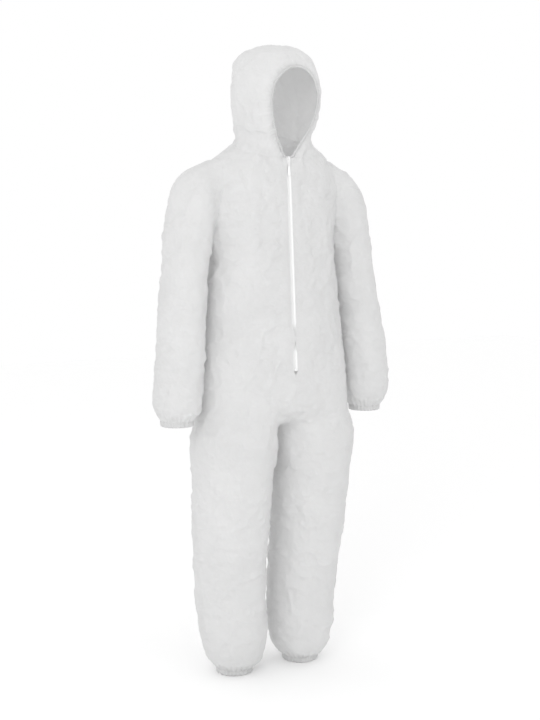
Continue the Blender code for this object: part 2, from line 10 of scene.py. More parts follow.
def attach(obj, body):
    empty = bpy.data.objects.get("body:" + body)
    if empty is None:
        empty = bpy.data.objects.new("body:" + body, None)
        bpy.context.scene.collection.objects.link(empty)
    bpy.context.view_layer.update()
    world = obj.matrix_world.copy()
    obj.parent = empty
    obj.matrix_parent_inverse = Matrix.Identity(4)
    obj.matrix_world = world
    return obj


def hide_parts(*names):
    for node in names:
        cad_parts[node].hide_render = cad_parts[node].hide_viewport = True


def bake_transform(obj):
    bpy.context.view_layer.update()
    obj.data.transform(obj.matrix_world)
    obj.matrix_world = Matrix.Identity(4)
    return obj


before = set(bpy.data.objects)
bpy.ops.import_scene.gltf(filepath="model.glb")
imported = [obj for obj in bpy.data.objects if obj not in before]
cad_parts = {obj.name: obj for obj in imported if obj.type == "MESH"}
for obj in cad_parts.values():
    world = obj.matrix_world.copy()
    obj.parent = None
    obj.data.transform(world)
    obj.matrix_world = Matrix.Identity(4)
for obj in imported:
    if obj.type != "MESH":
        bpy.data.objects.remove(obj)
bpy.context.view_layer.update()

# ---- sections of the suit, in metres, the same as the model's --------------------------
# trunk and hood: z, half width, front depth, back depth, section power
TRUNK = [
    (0.738, 0.230, 0.104, 0.100, 2.2),
    (0.765, 0.237, 0.128, 0.124, 2.2),
    (0.880, 0.233, 0.1250, 0.134, 2.2),
    (0.930, 0.225, 0.1216, 0.133, 2.2),
    (1.000, 0.215, 0.1168, 0.130, 2.2),
    (1.090, 0.204, 0.1106, 0.129, 2.2),
    (1.260, 0.192, 0.0990, 0.129, 2.2),
    (1.330, 0.199, 0.0942, 0.126, 2.2),
    (1.385, 0.208, 0.0905, 0.120, 2.2),
    (1.425, 0.211, 0.0877, 0.112, 2.2),
    (1.447, 0.203, 0.0862, 0.106, 2.2),
    (1.466, 0.184, 0.0850, 0.101, 2.2),
    (1.484, 0.157, 0.0870, 0.098, 2.1),
    (1.500, 0.126, 0.0930, 0.097, 2.0),
    (1.513, 0.108, 0.1000, 0.097, 2.0),
    (1.555, 0.1110, 0.1240, 0.098, 2.1),
    (1.610, 0.1180, 0.1400, 0.096, 2.3),
    (1.660, 0.1180, 0.1410, 0.096, 2.3),
    (1.700, 0.1140, 0.1330, 0.092, 2.2),
    (1.730, 0.1060, 0.1200, 0.084, 2.2),
    (1.751, 0.0910, 0.1020, 0.070, 2.2),
    (1.764, 0.0690, 0.0780, 0.052, 2.1),
    (1.771, 0.0420, 0.0480, 0.032, 2.0),
    (1.773, 0.0150, 0.0180, 0.012, 2.0),
]
# left sleeve and left leg: z, centre x, centre y, half width, half depth
SLEEVE = [
    (0.752, 0.312, -0.013, 0.0450, 0.0450),
    (0.767, 0.312, -0.013, 0.0535, 0.0570),
    (0.789, 0.312, -0.013, 0.0620, 0.0700),
    (0.828, 0.311, -0.014, 0.0630, 0.0765),
    (0.930, 0.302, -0.014, 0.0625, 0.0765),
    (1.000, 0.294, -0.006, 0.0610, 0.0765),
    (1.090, 0.284, 0.003, 0.0600, 0.0780),
    (1.215, 0.267, 0.013, 0.0600, 0.0805),
    (1.310, 0.251, 0.019, 0.0640, 0.0825),
    (1.355, 0.242, 0.020, 0.0640, 0.0815),
    (1.392, 0.233, 0.020, 0.0590, 0.0765),
    (1.422, 0.222, 0.018, 0.0520, 0.0660),
    (1.442, 0.208, 0.016, 0.0420, 0.0520),
    (1.454, 0.194, 0.012, 0.0280, 0.0350),
]
LEG = [
    (0.0150, 0.112, 0.026, 0.0520, 0.0540),
    (0.0300, 0.112, 0.026, 0.0680, 0.0700),
    (0.0500, 0.112, 0.027, 0.0810, 0.0830),
    (0.0850, 0.113, 0.029, 0.0910, 0.0930),
    (0.2200, 0.120, 0.034, 0.1000, 0.1020),
    (0.3900, 0.129, 0.018, 0.1070, 0.1090),
    (0.5600, 0.1285, 0.002, 0.1145, 0.1180),
    (0.7200, 0.1260, -0.006, 0.1175, 0.1230),
    (0.7900, 0.1150, -0.004, 0.0950, 0.1000),
]
# face opening: z, half width
FACE = [
    (1.468, 0.0140),
    (1.486, 0.0210),
    (1.508, 0.0345),
    (1.535, 0.0490),
    (1.570, 0.0640),
    (1.612, 0.0715),
    (1.650, 0.0690),
    (1.678, 0.0560),
    (1.696, 0.0380),
    (1.706, 0.0190),
    (1.709, 0.0000),
]
ZIP_TOP = Vector((0.0, -0.0850, 1.465))
ZIP_BOTTOM = Vector((0.0, -0.1250, 0.880))
ZIP_SET_BACK = 0.0030    # the middle of the teeth lies this far inside the cloth
ZIP_SLOT = 0.0065        # half width left open over the zip
ZIP_END = 0.868          # below this height the front panels meet in a plain seam
ZIP_FOLD = 0.972         # height of the fold of cloth that hides a short part of the zip
WRIST = (0.312, -0.013, 0.752, 0.0450)     # edge of the left sleeve: x, y, z, radius
ANKLE = (0.112, 0.026, 0.015, 0.0520)      # edge of the left leg
SLEEVE_LOW = 0.73        # nothing of a sleeve is below this height
LEG_TOP = 0.74           # the inner leg seams start here
FACE_MIDDLE = 1.60       # height that the angle round the face is measured from

# ---- seam and split planes at rest: point, normal --------------------------------------
NECK_SEAM = (Vector((0.0, -0.085, 1.469)), Vector((0.0, -0.387, 0.922)))
ARM_SEAM = (Vector((0.197, 0.0, 1.262)), Vector((0.996, 0.0, 0.088)))
ELBOW_SPLIT = 1.10
KNEE_SPLIT = 0.50

CELL = 0.0110            # size of the cells of the simulated cloth
JOIN_ROUNDS = 34         # rounds of smoothing where the parts of the body meet
CLOTH_STEPS = 16
CLOTH_CAP = 0.016        # farthest that a point may settle
CLOTH_SHARE = 0.75       # share of the settling that is used
CLOTH_EXTRA = 0.045      # how much larger than its shape the cloth is cut

# ---- heights of folds, gathers and seams -----------------------------------------------
LONG_FOLD = 0.0048
CROSS_FOLD = 0.0026
SLANTING_FOLD = 0.0030
PATCH = 0.0022
CREASE = 0.0032
FINE_CREASE = 0.0014
ZIP_FOLD_HEIGHT = 0.0060
CUFF_PLEAT = 0.0019
FACE_GATHER = 0.0010
FACE_ROLL = 0.0045
SEAM_DEPTH = 0.0021

SEE_THROUGH = 0.24       # share of the light that the thin cloth lets through
SIDES = ((-1, "right"), (1, "left"))


# ---- helpers ---------------------------------------------------------------------------
def new_object(name, points, faces, smooth=True):
    """Mesh object from points and faces, in the scene."""
    mesh = bpy.data.meshes.new(name)
    mesh.from_pydata([tuple(map(float, p)) for p in points], [], [tuple(map(int, f)) for f in faces])
    mesh.update()
    mesh.shade_smooth() if smooth else mesh.shade_flat()
    item = bpy.data.objects.new(name, mesh)
    bpy.context.scene.collection.objects.link(item)
    return item


def drop(item):
    """Remove a helper object and its mesh."""
    mesh = item.data
    bpy.data.objects.remove(item, do_unlink=True)
    bpy.data.meshes.remove(mesh)


def evaluated_mesh(item):
    """New mesh with the object's modifiers applied."""
    bpy.context.view_layer.update()
    graph = bpy.context.evaluated_depsgraph_get()
    return bpy.data.meshes.new_from_object(item.evaluated_get(graph))


def coordinates(mesh):
    """Vertex positions as an array."""
    flat = np.empty(len(mesh.vertices) * 3)
    mesh.vertices.foreach_get("co", flat)
    return flat.reshape(-1, 3)


def vertex_normals(mesh):
    """Vertex normals as an array."""
    flat = np.empty(len(mesh.vertices) * 3, np.float32)
    mesh.vertex_normals.foreach_get("vector", flat)
    return flat.reshape(-1, 3).astype(float)


def soft_step(low, high, value):
    """0 below low, 1 above high, smooth in between."""
    t = np.clip((value - low) / (high - low), 0.0, 1.0)
    return t * t * (3 - 2 * t)


def bump_at(value, centre, half):
    """Smooth hump that is 1 at the centre and 0 beyond half."""
    t = np.clip(1 - np.abs(value - centre) / half, 0.0, 1.0)
    return t * t * (3 - 2 * t)


def cloud(points, scale, seed, octaves=2):
    """Smooth noise between about -1 and 1 at each point, with a scale along each axis."""
    spots = points * np.array(scale) + np.array((seed * 7.13, seed * 3.71, seed * 5.39))
    found = np.empty(len(spots))
    for i, p in enumerate(spots):
        found[i] = noise.fractal(Vector(p), 1.0, 2.0, octaves)
    return found


def refine(table, step):
    """Rows of a smooth curve through the rows of a table, about one step apart."""
    rows = np.array(table, dtype=float)
    gaps = np.hypot(np.diff(rows[:, 0]), np.diff(rows[:, 3] if rows.shape[1] == 5 else rows[:, 1]))
    at = np.concatenate(([0.0], np.cumsum(gaps)))
    slopes = np.gradient(rows, at, axis=0)
    count = int(at[-1] / step) + 2
    out = []
    for s in np.linspace(0.0, at[-1], count):
        k = min(max(int(np.searchsorted(at, s)) - 1, 0), len(at) - 2)
        h = at[k + 1] - at[k]
        t = (s - at[k]) / h
        a = (2 * t ** 3 - 3 * t ** 2 + 1) * rows[k] + (t ** 3 - 2 * t ** 2 + t) * h * slopes[k]
        b = (-2 * t ** 3 + 3 * t ** 2) * rows[k + 1] + (t ** 3 - t ** 2) * h * slopes[k + 1]
        out.append(a + b)
    return np.array(out)


def loft(name, rings):
    """Closed tube through rings of points."""
    rings = np.array(rings)
    count = rings.shape[1]
    points = list(rings.reshape(-1, 3)) + [rings[0].mean(0), rings[-1].mean(0)]
    faces = []
    for i in range(len(rings) - 1):
        for k in range(count):
            n = (k + 1) % count
            faces.append((i * count + k, i * count + n, (i + 1) * count + n, (i + 1) * count + k))
    low, high, top = len(points) - 2, len(points) - 1, (len(rings) - 1) * count
    for k in range(count):
        n = (k + 1) % count
        faces += [(low, n, k), (high, top + k, top + n)]
    return new_object(name, points, faces)


def ring(cx, cy, z, half, front, back, power, count=96):
    """One level outline, anticlockwise from above."""
    turn = 2 * np.pi * (np.arange(count) + 0.5) / count
    c, s = np.cos(turn), np.sin(turn)
    x = cx + half * np.sign(c) * np.abs(c) ** (2 / power)
    y = cy + np.where(s > 0, back, front) * np.sign(s) * np.abs(s) ** (2 / power)
    return np.stack((x, y, np.full(count, z)), 1)


# ---- the cloth as one piece ------------------------------------------------------------
def spread(z):
    """How far the sleeves are held off the body while the cells are laid out."""
    return 0.016 * (1 - soft_step(1.14, 1.29, np.asarray(z, float)))


def bring_back(item):
    """Put the sleeves back beside the body."""
    points = coordinates(item.data)
    x, z = points[:, 0], points[:, 2]
    away = spread(z)
    sleeve = (np.abs(x) > arm_line(z) + away / 2) & (z > 0.70)
    points[:, 0] = np.where(sleeve, x - np.sign(x) * away, x)
    item.data.vertices.foreach_set("co", points.ravel())
    item.data.update()


def suit_body():
    """The whole suit as one even mesh of small cells."""
    step = 0.008
    rows = refine(TRUNK, step)
    solids = [loft("trunk", [ring(0, 0, z, a, f, b, p) for z, a, f, b, p in rows])]
    for table in (SLEEVE, LEG):
        for side, _ in SIDES:
            limb = []
            for z, x, y, a, b in refine(table, step):
                away = spread(z) if table is SLEEVE else 0.0
                limb.append(ring(side * (x + away), y, z, a, b, b, 2.0))
            solids.append(loft("limb", limb))
    points, faces, base = [], [], 0
    for solid in solids:
        points += [tuple(v.co) for v in solid.data.vertices]
        faces += [tuple(base + i for i in f.vertices) for f in solid.data.polygons]
        base = len(points)
        drop(solid)
    whole = new_object("whole", points, faces)
    cells = whole.modifiers.new("cells", "REMESH")
    cells.mode = "VOXEL"
    cells.voxel_size = CELL
    mesh = evaluated_mesh(whole)
    whole.modifiers.clear()
    old = whole.data
    whole.data = mesh
    bpy.data.meshes.remove(old)
    even = whole.modifiers.new("even", "SMOOTH")
    even.factor = 0.5
    even.iterations = 3
    whole.data = evaluated_mesh(whole)
    whole.modifiers.clear()
    bring_back(whole)
    relax(whole, join_share, JOIN_ROUNDS)
    return whole


def relax(item, share, rounds):
    """Even out the surface where the share is above 0, by the mean of each point's neighbours."""
    points = coordinates(item.data)
    ends = np.empty(len(item.data.edges) * 2, int)
    item.data.edges.foreach_get("vertices", ends)
    a, b = ends.reshape(-1, 2).T
    count = np.bincount(np.concatenate((a, b)), minlength=len(points))[:, None]
    weight = share(points)[:, None]
    for _ in range(rounds):
        total = np.zeros_like(points)
        np.add.at(total, a, points[b])
        np.add.at(total, b, points[a])
        points += weight * (total / np.maximum(count, 1) - points)
    item.data.vertices.foreach_set("co", points.ravel())
    item.data.update()


def join_share(points):
    """Where the parts of the body run into each other: hips, shoulders and neck."""
    x, y, z = points.T
    hips = bump_at(z, 0.765, 0.085) * (np.abs(x) < 0.30)
    hips = np.where(on_sleeve(points), 0.0, hips)
    shoulders = bump_at(z, 1.435, 0.10) * soft_step(0.11, 0.16, np.abs(x))
    return 0.55 * np.clip(hips + shoulders, 0, 1)


def face_outline():
    """Closed smooth outline of the face opening: x, z."""
    rows = refine([(z, w, 0, w, 0) for z, w in FACE], 0.004)
    right = [(w, z) for z, w, *_ in rows]
    left = [(-w, z) for w, z in reversed(right[:-1])]
    return np.array(right + left)


def inside(outline, x, z):
    """Whether each point lies inside a closed outline."""
    hit = np.zeros(len(x), bool)
    a, b = outline, np.roll(outline, -1, axis=0)
    for (x0, z0), (x1, z1) in zip(a, b):
        if z0 == z1:
            continue
        crossing = (z0 > z) != (z1 > z)
        hit ^= crossing & (x < x0 + (z - z0) * (x1 - x0) / (z1 - z0))
    return hit


def nearest_on(outline, x, z):
    """Nearest point of a closed outline."""
    a, b = outline, np.roll(outline, -1, axis=0)
    p = np.array((x, z))
    d = b - a
    length = (d ** 2).sum(1) + 1e-12
    t = np.clip(((p - a) * d).sum(1) / length, 0, 1)
    spots = a + d * t[:, None]
    return spots[((spots - p) ** 2).sum(1).argmin()]


def open_ends(whole):
    """Open the face, the wrists and the ankles, and give their edges their exact outline."""
    outline = face_outline()
    work = bmesh.new()
    work.from_mesh(whole.data)
    centres = np.array([f.calc_center_median() for f in work.faces])
    gone = inside(outline, centres[:, 0], centres[:, 2]) & (centres[:, 1] < -0.03)
    rims = []
    for x, y, z, r in (WRIST, ANKLE):
        for side, _ in SIDES:
            away = np.hypot(centres[:, 0] - side * x, centres[:, 1] - y)
            gone |= (away < r - 0.001) & (centres[:, 2] < z + 0.012)
            rims.append((side * x, y, z, r))
    work.faces.ensure_lookup_table()
    bmesh.ops.delete(work, geom=[work.faces[i] for i in np.flatnonzero(gone)], context="FACES")
    for edge_face in [f for f in work.faces if sum(e.is_boundary for e in f.edges) > 2]:
        work.faces.remove(edge_face)
    loose = [v for v in work.verts if not v.link_faces]
    bmesh.ops.delete(work, geom=loose, context="VERTS")
    for v in work.verts:
        if not v.is_boundary:
            continue
        if v.co.z > 1.40:
            v.co.x, v.co.z = nearest_on(outline, v.co.x, v.co.z)
            continue
        x, y, z, r = min(rims, key=lambda q: (v.co - Vector(q[:3])).length)
        flat = Vector((v.co.x - x, v.co.y - y, 0)).normalized() * r
        v.co = Vector((x, y, z)) + flat
    held = {v for v in work.verts if v.is_boundary}
    near = [v for v in work.verts
            if v not in held and any(e.other_vert(v) in held for e in v.link_edges)]
    axes = {"use_axis_x": True, "use_axis_y": True, "use_axis_z": True}
    for _ in range(3):
        bmesh.ops.smooth_vert(work, verts=near, factor=0.5, **axes)
    work.to_mesh(whole.data)
    work.free()
    whole.data.update()


def hold_weights(points, edge):
    """How firmly each point keeps its place: open edges, zip and shoulders most."""
    x, y, z = points.T
    weight = np.full(len(points), 0.42)
    weight += 0.20 * soft_step(1.38, 1.46, z) * (1 - soft_step(1.50, 1.56, z))
    weight += 0.16 * soft_step(1.70, 1.75, z)
    by_zip = (y < 0) & (z > 0.86) & (z < 1.48)
    weight = np.where(by_zip, np.maximum(weight, 1.0 - soft_step(0.006, 0.030, np.abs(x))), weight)
    weight[edge] = 1.0
    return np.clip(weight, 0.0, 1.0)


def open_edge(mesh):
    """Which points are on the mesh's open edges."""
    work = bmesh.new()
    work.from_mesh(mesh)
    edge = np.array([v.is_boundary for v in work.verts])
    work.free()
    return edge


def simulate(whole):
    """Let the cloth, cut a little too large for its shape, settle under its own weight."""
    start = coordinates(whole.data)
    group = whole.vertex_groups.new(name="hold")
    for i, w in enumerate(hold_weights(start, open_edge(whole.data))):
        group.add([i], float(w), "REPLACE")
    step = whole.modifiers.new("cloth", "CLOTH")
    s = step.settings
    s.quality = 4
    s.mass = 0.0022
    s.tension_stiffness = 12
    s.compression_stiffness = 12
    s.shear_stiffness = 6
    s.bending_stiffness = 0.9
    s.air_damping = 2
    s.vertex_group_mass = "hold"
    s.pin_stiffness = 1.0
    s.shrink_min = -CLOTH_EXTRA
    s.shrink_max = -CLOTH_EXTRA
    step.collision_settings.use_collision = False
    step.point_cache.frame_start = 1
    step.point_cache.frame_end = CLOTH_STEPS + 2
    scene = bpy.context.scene
    for number in range(1, CLOTH_STEPS + 1):
        scene.frame_set(number)
    graph = bpy.context.evaluated_depsgraph_get()
    settled = coordinates(whole.evaluated_get(graph).to_mesh())
    whole.modifiers.clear()
    scene.frame_set(1)
    move = settled - start
    far = np.linalg.norm(move, axis=1, keepdims=True)
    return CLOTH_SHARE * move * np.minimum(1.0, CLOTH_CAP / np.maximum(far, 1e-9))


# ---- finer cells, gathers and folds ----------------------------------------------------
def finer(whole, move):
    """One mesh with cells half the size: its shape at rest, and the settled shape in a layer."""
    start = coordinates(whole.data)
    step = whole.modifiers.new("finer", "SUBSURF")
    step.levels = 1
    step.render_levels = 1
    step.boundary_smooth = "PRESERVE_CORNERS"
    plain = evaluated_mesh(whole)
    whole.data.vertices.foreach_set("co", (start + move).ravel())
    whole.data.update()
    settled = evaluated_mesh(whole)
    whole.modifiers.clear()
    layer = plain.attributes.new("shaped", "FLOAT_VECTOR", "POINT")
    layer.data.foreach_set("vector", coordinates(settled).ravel())
    bpy.data.meshes.remove(settled)
    return plain


def rim_distance(points):
    """Distance in front view to the edge of the face opening, and the angle round it."""
    outline = face_outline()
    away = np.full(len(points), 1.0)
    front = np.flatnonzero((points[:, 1] < -0.02) & (points[:, 2] > 1.42))
    for i in front:
        near = nearest_on(outline, points[i, 0], points[i, 2])
        away[i] = math.hypot(points[i, 0] - near[0], points[i, 2] - near[1])
    turn = np.arctan2(points[:, 0], points[:, 2] - FACE_MIDDLE)
    return away, turn


def end_distance(points):
    """Height above the nearest cuff or ankle edge, and the angle round that limb."""
    above = np.full(len(points), 1.0)
    turn = np.zeros(len(points))
    for x, y, z, r in (WRIST, ANKLE):
        for side, _ in SIDES:
            near = np.hypot(points[:, 0] - side * x, points[:, 1] - y) < r + 0.06
            near &= points[:, 2] < z + 0.12
            if z > 0.5:
                near &= np.abs(points[:, 0]) > arm_line(points[:, 2])
            reach = np.hypot(points[:, 0] - side * x, points[:, 1] - y) - r
            gap = np.hypot(np.maximum(reach, 0), points[:, 2] - z)
            above = np.where(near, gap, above)
            turn = np.where(near, np.arctan2(points[:, 1] - y, points[:, 0] - side * x), turn)
    return above, turn


def arm_line(z):
    """Half width that parts the sleeve from the body at a height."""
    heights = [SLEEVE_LOW, 0.83, 0.93, 1.10, 1.262, 1.50]
    return np.interp(z, heights, [0.245, 0.2415, 0.2315, 0.2135, 0.197, 0.176])


def on_sleeve(points):
    """Which points are on a sleeve."""
    return (np.abs(points[:, 0]) > arm_line(points[:, 2])) & (points[:, 2] > SLEEVE_LOW)


def plane_distance(points, plane):
    """Signed distance from a plane, mirrored for the right side."""
    spot, normal = plane
    folded = points.copy()
    folded[:, 0] = np.abs(folded[:, 0])
    return (folded - np.array(spot)) @ np.array(normal.normalized())


def cut(work, keep, spot, normal):
    """Lay an edge along a plane through the chosen faces."""
    faces = [f for f in work.faces if keep(f.calc_center_median())]
    edges = {e for f in faces for e in f.edges}
    verts = {v for f in faces for v in f.verts}
    bmesh.ops.bisect_plane(work, geom=list(verts) + list(edges) + faces, dist=0.00004,
                           plane_co=spot, plane_no=normal)


def seamed(plain):
    """Smaller cells at the gathers, and edges along every seam."""
    work = bmesh.new()
    work.from_mesh(plain)
    points = np.array([v.co for v in work.verts])
    away = np.minimum(rim_distance(points)[0], end_distance(points)[0])
    work.verts.ensure_lookup_table()
    near = {work.verts[i] for i in np.flatnonzero(away < 0.034)}
    edges = [e for e in work.edges if e.verts[0] in near and e.verts[1] in near]
    bmesh.ops.subdivide_edges(work, edges=edges, cuts=1, use_grid_fill=True)

    def sleeve(p):
        return abs(p.x) > float(arm_line(p.z)) and p.z > SLEEVE_LOW

    cut(work, lambda p: True, (0, 0, 0), (1, 0, 0))
    cut(work, lambda p: 1.40 < p.z < 1.60 and abs(p.x) < 0.176, *NECK_SEAM)
    for side, _ in SIDES:
        spot = Vector((side * ARM_SEAM[0].x, 0, ARM_SEAM[0].z))
        normal = Vector((side * ARM_SEAM[1].x, 0, ARM_SEAM[1].z))
        cut(work, lambda p: p.z > 1.22 and 0.15 < p.x * side < 0.24, spot, normal)
    cut(work, lambda p: 0.45 < p.z < 1.53 and not sleeve(p), (0, 0, 0), (0, 1, 0))
    cut(work, lambda p: p.z < 0.60, (0, 0, KNEE_SPLIT), (0, 0, 1))
    cut(work, sleeve, (0, 0, ELBOW_SPLIT), (0, 0, 1))
    made = bpy.data.meshes.new("suit")
    work.to_mesh(made)
    work.free()
    made.shade_smooth()
    return made


def limb_centre_y(points):
    """y of the middle of the leg or sleeve at each height."""
    leg = np.interp(points[:, 2], [r[0] for r in LEG], [r[2] for r in LEG])
    arm = np.interp(points[:, 2], [r[0] for r in SLEEVE], [r[2] for r in SLEEVE])
    return np.where(on_sleeve(points), arm, leg)


def groove(away, half):
    """Groove of a seam: 1 on its line, 0 beyond half."""
    return np.clip(1 - np.abs(away) / half, 0, 1) ** 2


def seam_depth(points):
    """How far the cloth is drawn in along its seams."""
    x, y, z = points.T
    sleeve = on_sleeve(points)
    centre = (~sleeve) & ((y > 0) | (z < ZIP_END) | (z > 1.70))
    deep = np.where(centre, groove(x, 0.0075), 0)
    collar = (~sleeve) & (np.abs(x) < 0.17)
    neck = 1.1 * groove(plane_distance(points, NECK_SEAM), 0.0080)
    deep = np.maximum(deep, np.where(collar, neck, 0))
    top = (z > 1.24) & (np.abs(x) > 0.15)
    arm = 1.2 + 1.3 * (1 - soft_step(1.30, 1.42, z))
    deep = np.maximum(deep, np.where(top, arm * groove(plane_distance(points, ARM_SEAM), 0.0095), 0))
    side = (~sleeve) & (z > LEG_TOP) & (z < 1.50) & (np.abs(x) > 0.10)
    deep = np.maximum(deep, np.where(side, groove(y, 0.0070), 0))
    limb = (sleeve & (z < 1.26)) | ((~sleeve) & (z < LEG_TOP))
    away = y - np.where((~sleeve) & (z > KNEE_SPLIT), 0.0, limb_centre_y(points))
    inner = np.abs(x) < np.where(sleeve, np.interp(z, [0.75, 1.30], [0.30, 0.25]), 10.0)
    deep = np.maximum(deep, np.where(limb & inner, groove(away, 0.0070), 0))
    return deep


def fold_heights(points):
    """Broad soft folds, crumples at the bends and a fine unevenness."""
    x, y, z = points.T
    sleeve = on_sleeve(points)
    long_folds = cloud(points, (13.0, 13.0, 2.6), 1.0)
    cross_folds = 1 - 2 * np.abs(cloud(points, (7.0, 7.0, 26.0), 2.0))
    slant = points @ np.array(((0.80, 0.0, 0.60), (0.0, 1.0, 0.0), (-0.60, 0.0, 0.80))).T
    slant[:, 0] = np.where(x < 0, slant[:, 0], -slant[:, 0])
    slanting = 1 - 2 * np.abs(cloud(slant, (6.0, 8.0, 22.0), 3.0))
    patches = cloud(points, (19.0, 19.0, 15.0), 4.0, 3)
    crease = np.clip(1 - 5.0 * np.abs(cloud(points, (8.0, 8.0, 8.0), 6.0, 3)), 0, 1) ** 1.5
    fine = np.clip(1 - 4.0 * np.abs(cloud(points, (17.0, 17.0, 21.0), 7.0, 2)), 0, 1) ** 1.5
    body = (~sleeve) & (z < 1.46)
    out = np.zeros(len(points))
    out += LONG_FOLD * long_folds * np.where(body & (z > 0.30), 1.0, 0.5)
    bends = bump_at(z, 0.98, 0.17) * np.where(sleeve, 1.0, 0.75)
    bends += np.where(sleeve, bump_at(z, 0.83, 0.12) + 0.5 * bump_at(z, 1.25, 0.14), 0.0)
    leg_bends = bump_at(z, 0.42, 0.20) * 0.8 + bump_at(z, 0.14, 0.15) + 0.5 * bump_at(z, 0.74, 0.14)
    bends += np.where(body, leg_bends, 0)
    out += CROSS_FOLD * cross_folds * np.clip(bends, 0, 1.2)
    drawn = bump_at(z, 1.25, 0.22) + 0.6 * bump_at(z, 0.78, 0.12)
    out += SLANTING_FOLD * slanting * np.where(body, drawn, 0.0)
    out += PATCH * patches + CREASE * crease + FINE_CREASE * fine * (0.4 + np.clip(bends, 0, 1))
    return out


def keep_apart(points, rest):
    """Leave air between sleeves and body and between the legs."""
    z = rest[:, 2]
    side = np.sign(rest[:, 0])
    reach = np.abs(points[:, 0])
    line = arm_line(z)
    low = 1 - soft_step(1.20, 1.27, z)
    sleeve = on_sleeve(rest)
    air = 0.004
    clear = air * low
    outer = np.where(sleeve & (low > 0), np.maximum(reach, line + clear), reach)
    body = (~sleeve) & (low > 0) & (z > SLEEVE_LOW)
    outer = np.where(body, np.minimum(outer, line - clear), outer)
    outer = np.where(z < 0.70, np.maximum(outer, air), outer)
    out = points.copy()
    out[:, 0] = np.where(side == 0, points[:, 0], side * outer)
    return out


def pleats(turn):
    """Phase of the uneven gathers of a cuff at an angle round it."""
    return 23 * turn + 2.2 * np.sin(3 * turn)


def sculpt(mesh):
    """Folds, gathers and seams on the settled shape; gives the rest points, points and normals."""
    rest = coordinates(mesh)
    flat = np.empty(len(rest) * 3)
    mesh.attributes["shaped"].data.foreach_get("vector", flat)
    points = flat.reshape(-1, 3)
    mesh.vertices.foreach_set("co", points.ravel())
    mesh.update()
    normal = vertex_normals(mesh)
    away, round_face = rim_distance(rest)
    above, round_limb = end_distance(rest)
    x, y, z = rest.T
    zip_near = (y < 0) & (z > 0.85) & (z < 1.49)
    free = np.where(zip_near, soft_step(0.008, 0.040, np.abs(x)), 1.0)
    free = free * soft_step(0.0, 0.030, away) * soft_step(0.0, 0.030, above)
    height = fold_heights(rest) * free
    height -= SEAM_DEPTH * seam_depth(rest) * (0.8 + 0.5 * cloud(rest, (60, 60, 60), 5.0, 1))
    pleat = np.sin(pleats(round_limb) + 14 * above) * soft_step(0.0, 0.004, above + 0.002)
    height += CUFF_PLEAT * pleat * np.exp(-((above - 0.010) / 0.020) ** 2)
    gather = np.sin(58 * round_face + 3.0 * np.sin(5 * round_face) + 20 * away)
    height += FACE_GATHER * gather * np.exp(-(away / 0.016) ** 2)
    height += FACE_ROLL * bump_at(away, 0.020, 0.019)
    over_zip = np.where(y < 0, 1 - soft_step(0.0, 0.055, np.abs(x - 0.006)), 0.0)
    height += ZIP_FOLD_HEIGHT * bump_at(z, ZIP_FOLD, 0.034) * over_zip
    points = keep_apart(points + normal * height[:, None], rest)
    mesh.vertices.foreach_set("co", points.ravel())
    mesh.update()
    return rest, points, vertex_normals(mesh)


# ---- panels ----------------------------------------------------------------------------
def panel_of(centres):
    """Name of the panel that each face belongs to."""
    x, y, z = centres.T
    side = np.where(x < 0, "right", "left")
    sleeve = on_sleeve(centres)
    top = (plane_distance(centres, NECK_SEAM) > 0) & ~sleeve
    names = np.where(y < 0, "front_panel", "back_panel").astype("U16")
    names[z < KNEE_SPLIT] = "lower_leg"
    names[top] = "hood_panel"
    names[sleeve & (z >= ELBOW_SPLIT)] = "sleeve_upper"
    names[sleeve & (z < ELBOW_SPLIT)] = "lower_sleeve"
    return np.char.add(np.char.add(names, "_"), side)


def slot_half(z):
    """Half width left open over the zip; a fold of cloth closes it for a short way."""
    return ZIP_SLOT * (1 - bump_at(z, ZIP_FOLD, 0.040) ** 0.4) * soft_step(ZIP_END, 0.880, z)


def open_slot(points, rest, side):
    """Draw the front edge of a panel back from the zip."""
    x, y, z = rest.T
    reach = 0.030
    near = (np.abs(x) < reach) & (y < 0) & (z > ZIP_END - 0.002) & (z < 1.4695)
    w = slot_half(z)
    moved = side * (w + np.abs(points[:, 0]) * (1 - w / reach))
    out = points.copy()
    out[near, 0] = moved[near]
    return out


def split_panels(mesh, rest, points, normals):
    """Separate panels that meet along the seams."""
    loops = [np.array(f.vertices) for f in mesh.polygons]
    centres = np.array([rest[loop].mean(0) for loop in loops])
    names = panel_of(centres)
    made = {}
    for name in sorted(set(names)):
        side = -1 if name.endswith("right") else 1
        chosen = [loops[i] for i in np.flatnonzero(names == name)]
        used = np.unique(np.concatenate(chosen))
        new_index = np.full(len(rest), -1)
        new_index[used] = np.arange(len(used))
        place = points[used]
        if name.startswith("front"):
            place = open_slot(place, rest[used], side)
        item = new_object(name, place, [new_index[f] for f in chosen])
        layer = item.data.attributes.new("rest", "FLOAT_VECTOR", "POINT")
        layer.data.foreach_set("vector", rest[used].ravel())
        item.data.normals_split_custom_set_from_vertices([tuple(n) for n in normals[used]])
        made[name] = item
    return made


# ---- hems ------------------------------------------------------------------------------
def swept(name, rows, closed):
    """Skin over rows of points: rows x around; each row is a closed outline."""
    rows = np.array(rows)
    count = rows.shape[1]
    last = len(rows) if closed else len(rows) - 1
    faces = []
    for i in range(last):
        j = (i + 1) % len(rows)
        for k in range(count):
            n = (k + 1) % count
            faces.append((i * count + k, i * count + n, j * count + n, j * count + k))
    if not closed:
        top = (len(rows) - 1) * count
        faces += [tuple(range(count - 1, -1, -1)), tuple(range(top, top + count))]
    item = new_object(name, rows.reshape(-1, 3), faces)
    work = bmesh.new()
    work.from_mesh(item.data)
    bmesh.ops.recalc_face_normals(work, faces=work.faces)
    work.to_mesh(item.data)
    work.free()
    keep_rest(item)
    return item


